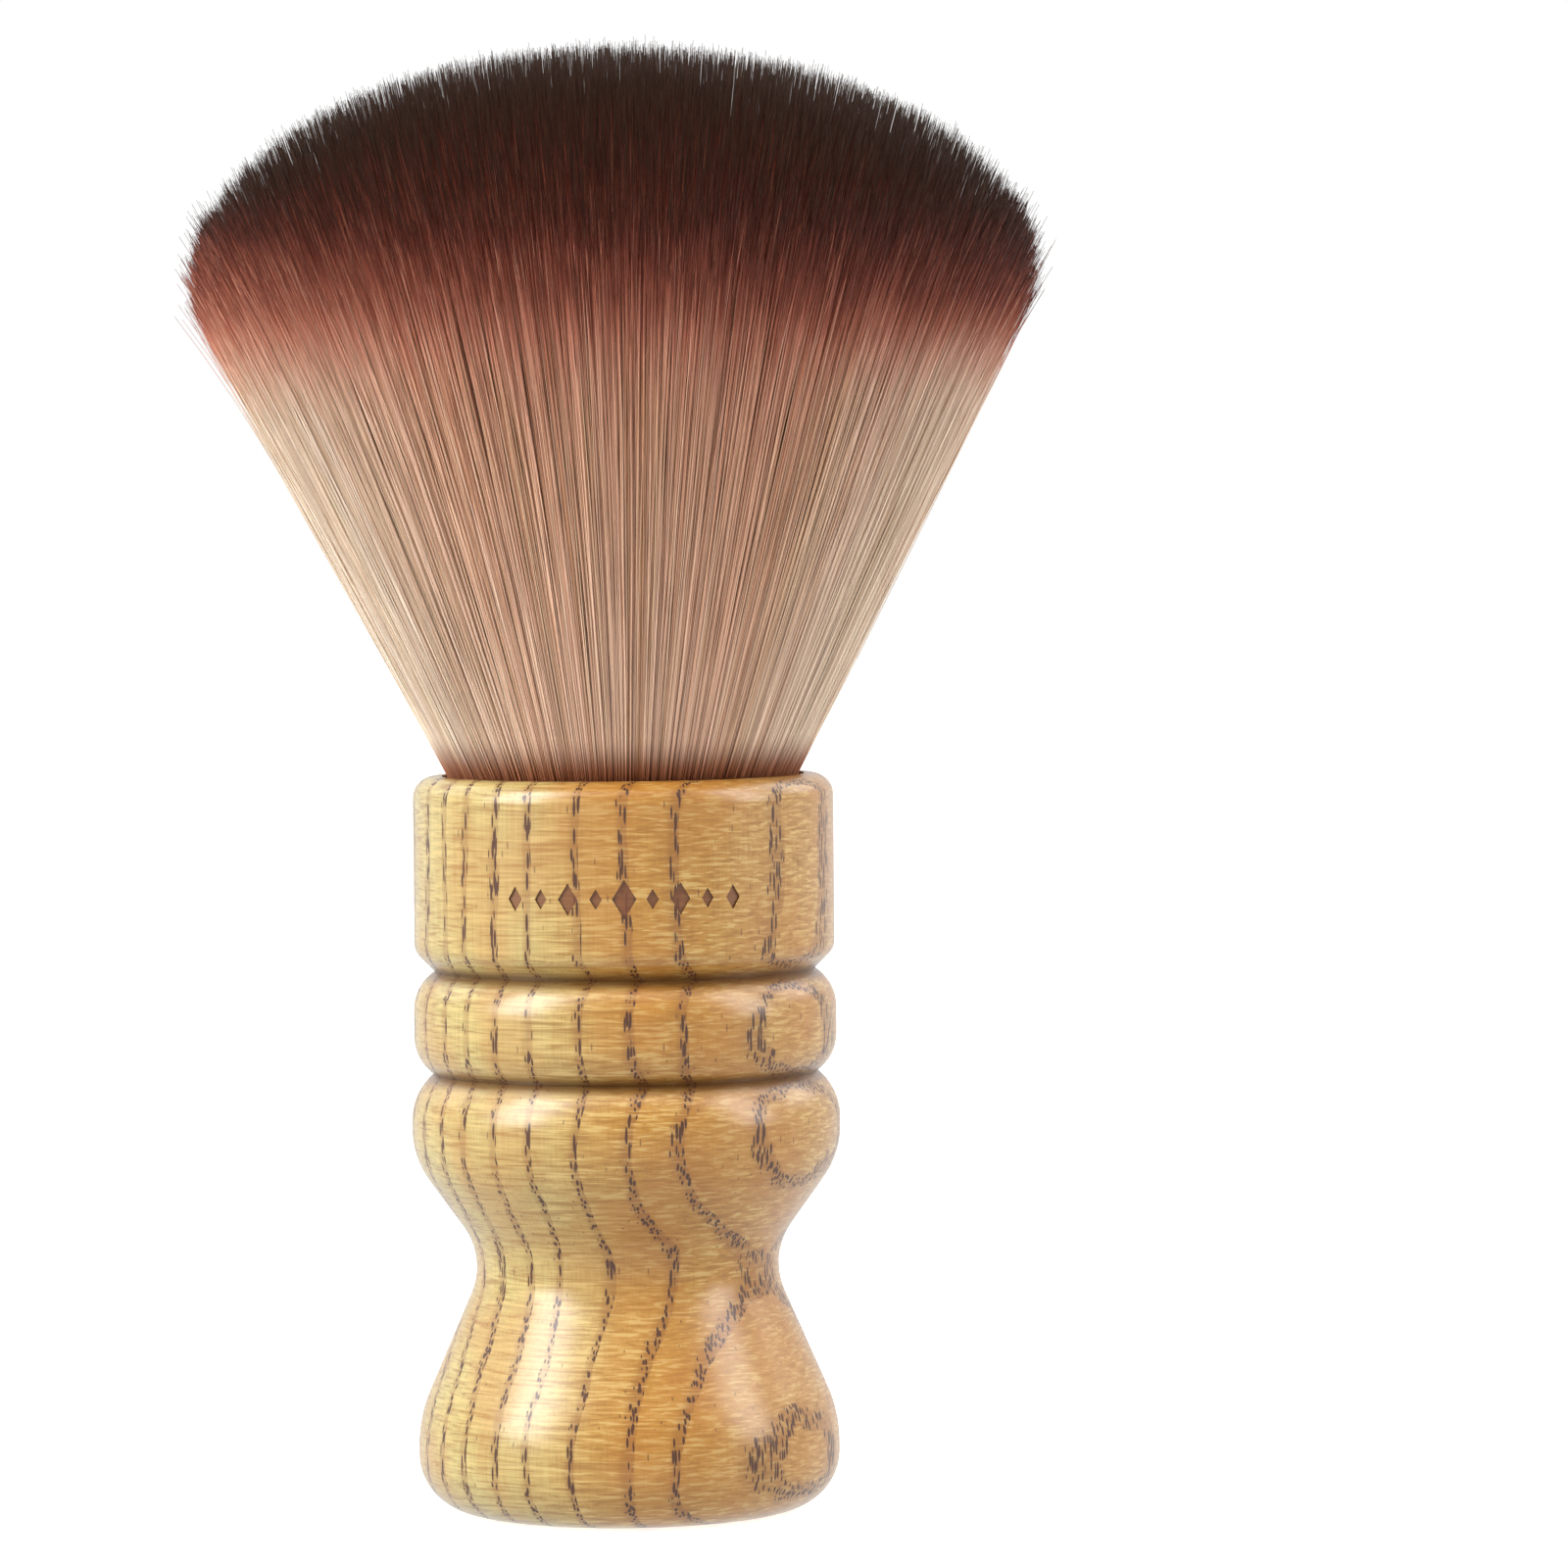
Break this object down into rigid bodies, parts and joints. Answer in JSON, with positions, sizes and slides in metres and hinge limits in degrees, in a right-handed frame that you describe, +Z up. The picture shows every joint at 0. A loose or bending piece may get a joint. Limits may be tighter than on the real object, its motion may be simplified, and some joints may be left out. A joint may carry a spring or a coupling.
{
  "type": "neck duster brush",
  "caption": "Barber's neck duster: a turned wooden handle with ringed grip and collar, and a flared, dome-topped bundle of soft bristles that flexes and springs back.",
  "frame": {"origin": "centre of the flat base of the handle", "axes": "+Z up along the brush's own axis, from the base to the tips of the bristles; -Y is the front, the side with the engraved lozenges; +X is to the right seen from the front"},
  "size_m": [0.0982, 0.0982, 0.167],
  "materials": {
    "ash_wood": "satin",
    "adhesive": "gloss",
    "resin": "gloss",
    "thread": "matte",
    "bristle_cream": "matte",
    "bristle_salmon": "matte",
    "bristle_dark": "matte"
  },
  "bodies": {
    "handle": {"handle": "ash_wood", "socket_adhesive": "adhesive", "knot_plug": "resin", "knot_binding": "thread", "bristle_roots": "bristle_cream"},
    "bristle_stem": {"bristle_stem": "bristle_cream"},
    "bristle_head": {"bristle_head": "bristle_salmon", "bristle_tips": "bristle_dark"}
  },
  "joints": [
    {"name": "bristle_bend_side", "type": "hinge", "parent": "handle", "child": "bristle_stem", "pos_m": [0, 0, 0.084], "axis": [0, 1, 0], "range_deg": [-25, 25], "stiffness_Nm_per_rad": 0.5},
    {"name": "bristle_bend_front", "type": "hinge", "parent": "bristle_stem", "child": "bristle_head", "pos_m": [0, 0, 0.084], "axis": [1, 0, 0], "range_deg": [-25, 25], "stiffness_Nm_per_rad": 0.5}
  ]
}
